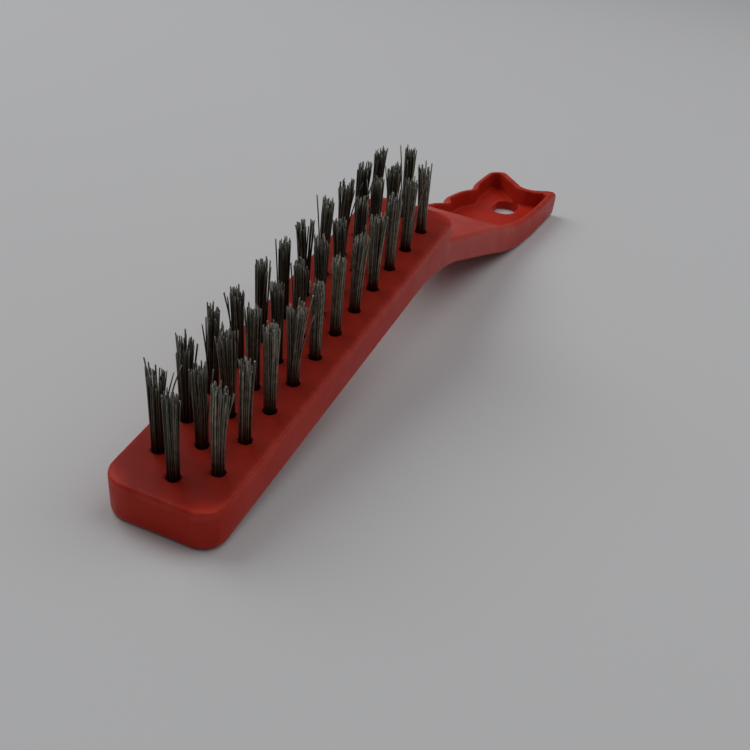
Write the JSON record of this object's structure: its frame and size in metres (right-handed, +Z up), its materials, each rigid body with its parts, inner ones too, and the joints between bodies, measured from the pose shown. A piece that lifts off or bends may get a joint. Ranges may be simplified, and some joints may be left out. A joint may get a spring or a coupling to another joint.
{
  "type": "wire brush",
  "caption": "Wire brush with steel wire tufts in three staggered rows and a one-piece moulded, cranked grip with a recessed face, finger lobes, a notched tail and a hang slot.",
  "frame": {"origin": "on the surface the brush lies on, under the middle of its overall length, in the head block's centre plane", "axes": "+X from the head towards the grip's tail, +Y towards the finger lobes, +Z up with the wires pointing up; the head block rises 11 degrees from its front edge"},
  "size_m": [0.237, 0.0291, 0.0472],
  "materials": {
    "handle": "injection moulded, semi-gloss, deep red",
    "brush_wire": "drawn, oil-tempered dark grey wire with bright cut ends",
    "anchor_wire": "plain flat staple strip"
  },
  "bodies": {
    "root": {"handle_body": "handle", "anchors_left": "anchor_wire", "anchors_middle": "anchor_wire", "anchors_right": "anchor_wire", "tuft_left_01": "brush_wire", "tuft_left_02": "brush_wire", "tuft_left_03": "brush_wire", "tuft_left_04": "brush_wire", "tuft_left_05": "brush_wire", "tuft_left_06": "brush_wire", "tuft_left_07": "brush_wire", "tuft_left_08": "brush_wire", "tuft_left_09": "brush_wire", "tuft_left_10": "brush_wire", "tuft_left_11": "brush_wire", "tuft_middle_01": "brush_wire", "tuft_middle_02": "brush_wire", "tuft_middle_03": "brush_wire", "tuft_middle_04": "brush_wire", "tuft_middle_05": "brush_wire", "tuft_middle_06": "brush_wire", "tuft_middle_07": "brush_wire", "tuft_middle_08": "brush_wire", "tuft_middle_09": "brush_wire", "tuft_middle_10": "brush_wire", "tuft_middle_11": "brush_wire", "tuft_middle_12": "brush_wire", "tuft_right_01": "brush_wire", "tuft_right_02": "brush_wire", "tuft_right_03": "brush_wire", "tuft_right_04": "brush_wire", "tuft_right_05": "brush_wire", "tuft_right_06": "brush_wire", "tuft_right_07": "brush_wire", "tuft_right_08": "brush_wire", "tuft_right_09": "brush_wire", "tuft_right_10": "brush_wire", "tuft_right_11": "brush_wire"}
  },
  "joints": []
}
